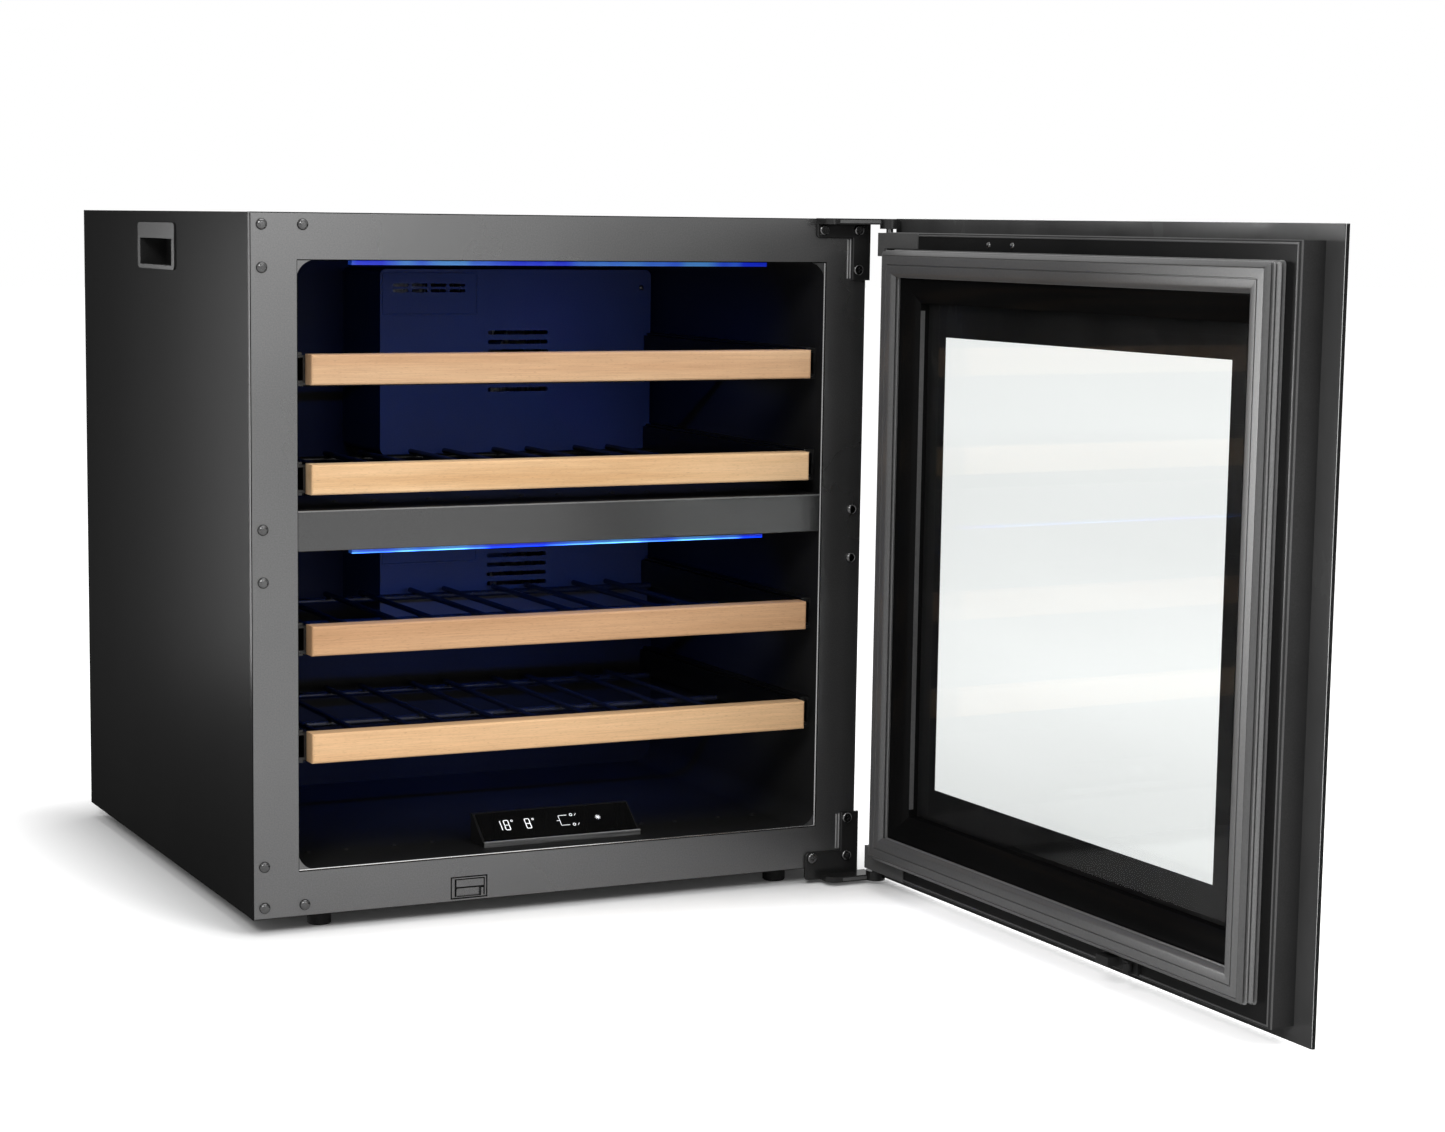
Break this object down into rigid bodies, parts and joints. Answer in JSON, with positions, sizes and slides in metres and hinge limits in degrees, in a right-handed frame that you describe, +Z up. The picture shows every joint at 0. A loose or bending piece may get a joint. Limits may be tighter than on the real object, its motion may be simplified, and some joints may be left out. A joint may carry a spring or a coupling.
{
  "type": "wine cooler",
  "caption": "Built-in two-zone wine cooler: black cabinet with a glass door on side hinges, wood-fronted sliding bottle shelves, lit cavity, touch console and compressor cooling.",
  "frame": {"origin": "On the floor, under the centre of the cabinet.", "axes": "+Z is up, the front of the cabinet faces -Y, and +X is the hinge side."},
  "size_m": [0.5938, 1.1297, 0.585],
  "materials": {
    "black_sheet": "satin black",
    "foot_rubber": "matte",
    "liner_plastic": "satin dark grey",
    "trim_plastic": "satin black",
    "lamp_diffuser": "translucent white",
    "fin_aluminium": "bare",
    "black_plastic": "satin black",
    "black_glass": "gloss black",
    "bright_trim": "silver",
    "runner_steel": "black zinc",
    "hinge_steel": "satin black",
    "screw_steel": "black oxide",
    "compressor_shell": "black enamel",
    "door_glass": "clear with a black printed border",
    "pane_glass": "clear with a black printed border",
    "door_plastic": "satin black",
    "gasket_rubber": "matte dark grey",
    "latch_plastic": "grey",
    "beech": "light, oiled",
    "rack_wire": "satin black coated wire"
  },
  "bodies": {
    "cabinet": {"base_pan": "black_sheet", "side_panel_left": "black_sheet", "side_panel_right": "black_sheet", "top_panel": "black_sheet", "rear_panel": "black_sheet", "rear_grille": "black_sheet", "feet": "foot_rubber", "front_frame": "black_sheet", "liner": "liner_plastic", "divider_panel": "liner_plastic", "divider_trim": "trim_plastic", "lamp_bars": "lamp_diffuser", "evaporator_cover_upper": "liner_plastic", "evaporator_cover_lower": "liner_plastic", "evaporator_upper": "fin_aluminium", "evaporator_lower": "fin_aluminium", "fan_motors": "black_plastic", "control_console": "liner_plastic", "control_glass": "black_glass", "console_trim": "bright_trim", "runner_rails": "runner_steel", "hinge_bracket_top": "hinge_steel", "hinge_bracket_bottom": "hinge_steel", "hinge_pins": "screw_steel", "hinge_screws": "screw_steel", "frame_plugs": "black_plastic", "latch_housing": "black_plastic", "carry_handles": "black_plastic", "compressor": "compressor_shell", "drip_tray": "black_plastic", "condenser": "fin_aluminium", "condenser_shroud": "black_plastic", "control_board_box": "black_plastic", "mains_inlet": "black_plastic"},
    "door": {"door_glass": "door_glass", "door_frame": "door_plastic", "inner_glass": "pane_glass", "glass_spacer": "door_plastic", "door_gasket": "gasket_rubber", "hinge_blocks": "hinge_steel", "door_striker": "latch_plastic"},
    "striker_roller": {"striker_roller": "latch_plastic"},
    "latch_plunger": {"latch_plunger": "latch_plastic"},
    "evaporator_fan_upper": {"evaporator_fan_upper": "black_plastic"},
    "evaporator_fan_lower": {"evaporator_fan_lower": "black_plastic"},
    "condenser_fan": {"condenser_fan": "black_plastic"},
    "shelf_1": {"shelf_front_1": "beech", "shelf_rack_1": "rack_wire", "shelf_bars_1": "runner_steel"},
    "shelf_2": {"shelf_front_2": "beech", "shelf_rack_2": "rack_wire", "shelf_bars_2": "runner_steel"},
    "shelf_3": {"shelf_front_3": "beech", "shelf_rack_3": "rack_wire", "shelf_bars_3": "runner_steel"},
    "shelf_4": {"shelf_front_4": "beech", "shelf_rack_4": "rack_wire", "shelf_bars_4": "runner_steel"}
  },
  "joints": [
    {"name": "door_hinge", "type": "hinge", "parent": "cabinet", "child": "door", "pos_m": [0.2888, -0.28075, 0.294], "axis": [0, 0, 1], "range_deg": [-91, 24]},
    {"name": "shelf_1_slide", "type": "slide", "parent": "cabinet", "child": "shelf_1", "axis": [0, -1, 0], "range_m": [0, 0.22]},
    {"name": "shelf_2_slide", "type": "slide", "parent": "cabinet", "child": "shelf_2", "axis": [0, -1, 0], "range_m": [0, 0.22]},
    {"name": "shelf_3_slide", "type": "slide", "parent": "cabinet", "child": "shelf_3", "axis": [0, -1, 0], "range_m": [0, 0.22]},
    {"name": "shelf_4_slide", "type": "slide", "parent": "cabinet", "child": "shelf_4", "axis": [0, -1, 0], "range_m": [0, 0.22]},
    {"name": "latch_push", "type": "slide", "parent": "cabinet", "child": "latch_plunger", "axis": [0, -1, 0], "range_m": [0, 0.007]},
    {"name": "evaporator_fan_upper_spin", "type": "hinge", "parent": "cabinet", "child": "evaporator_fan_upper", "pos_m": [0.095, 0.159, 0.4465], "axis": [0, 1, 0], "continuous": true},
    {"name": "evaporator_fan_lower_spin", "type": "hinge", "parent": "cabinet", "child": "evaporator_fan_lower", "pos_m": [0.095, 0.159, 0.252], "axis": [0, 1, 0], "continuous": true},
    {"name": "condenser_fan_spin", "type": "hinge", "parent": "cabinet", "child": "condenser_fan", "pos_m": [-0.095, 0.182, 0.0702], "axis": [1, 0, 0], "continuous": true},
    {"name": "striker_roller_spin", "type": "hinge", "parent": "door", "child": "striker_roller", "pos_m": [0.2792, -0.68478, 0.0225], "axis": [0, 0, 1], "continuous": true}
  ]
}
